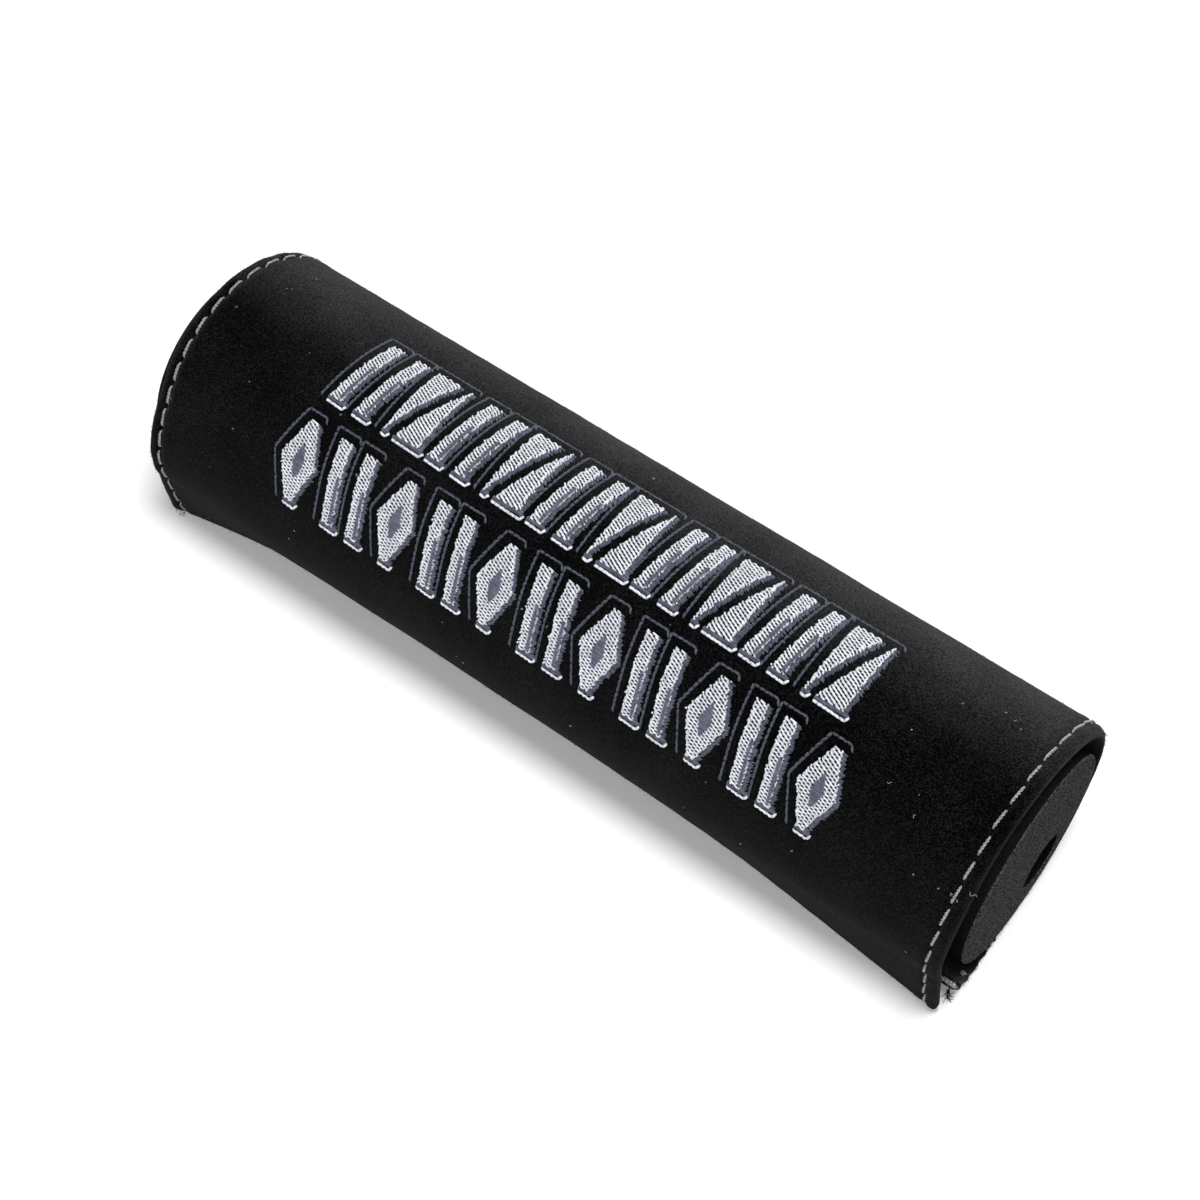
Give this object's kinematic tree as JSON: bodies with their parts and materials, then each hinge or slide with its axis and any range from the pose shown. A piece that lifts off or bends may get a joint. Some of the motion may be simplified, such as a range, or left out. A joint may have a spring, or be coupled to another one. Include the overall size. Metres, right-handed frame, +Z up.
{
  "type": "handlebar pad",
  "caption": "Cylindrical foam handlebar pad in a wrapped suede fabric cover with topstitched rims, embroidered bands and a hook-and-loop closure.",
  "frame": {"origin": "middle of the pad's footprint, on the surface that it lies on", "axes": "+X along the pad, -Y towards the front, where the loose edge of the cover hangs, +Z up"},
  "size_m": [0.2194, 0.0622, 0.0591],
  "materials": {
    "foam": "closed-cell foam, matt",
    "suede": "brushed suede fabric",
    "loop_tape": "brushed loop tape",
    "hook_tape": "woven hook tape",
    "stitch_thread": "twisted sewing thread",
    "embroidery_thread": "lustrous floss"
  },
  "bodies": {
    "root": {"cover": "suede", "foam_core": "foam", "hook_strip": "hook_tape", "loop_strip": "loop_tape", "lower_back_bar_02": "embroidery_thread", "lower_back_bar_03": "embroidery_thread", "lower_back_bar_05": "embroidery_thread", "lower_back_bar_06": "embroidery_thread", "lower_back_bar_08": "embroidery_thread", "lower_back_bar_09": "embroidery_thread", "lower_back_bar_11": "embroidery_thread", "lower_back_bar_12": "embroidery_thread", "lower_back_bar_14": "embroidery_thread", "lower_back_bar_15": "embroidery_thread", "lower_lozenge_01": "embroidery_thread", "lower_lozenge_04": "embroidery_thread", "lower_lozenge_07": "embroidery_thread", "lower_lozenge_10": "embroidery_thread", "lower_lozenge_13": "embroidery_thread", "lower_lozenge_16": "embroidery_thread", "topstitch_left": "stitch_thread", "topstitch_right": "stitch_thread", "upper_bar_01": "embroidery_thread", "upper_bar_02": "embroidery_thread", "upper_bar_05": "embroidery_thread", "upper_bar_06": "embroidery_thread", "upper_bar_09": "embroidery_thread", "upper_bar_10": "embroidery_thread", "upper_bar_13": "embroidery_thread", "upper_bar_14": "embroidery_thread", "upper_bar_17": "embroidery_thread", "upper_bar_18": "embroidery_thread", "upper_left_wedge_03": "embroidery_thread", "upper_left_wedge_07": "embroidery_thread", "upper_left_wedge_11": "embroidery_thread", "upper_left_wedge_15": "embroidery_thread", "upper_left_wedge_19": "embroidery_thread", "upper_right_wedge_04": "embroidery_thread", "upper_right_wedge_08": "embroidery_thread", "upper_right_wedge_12": "embroidery_thread", "upper_right_wedge_16": "embroidery_thread", "upper_right_wedge_20": "embroidery_thread"}
  },
  "joints": []
}
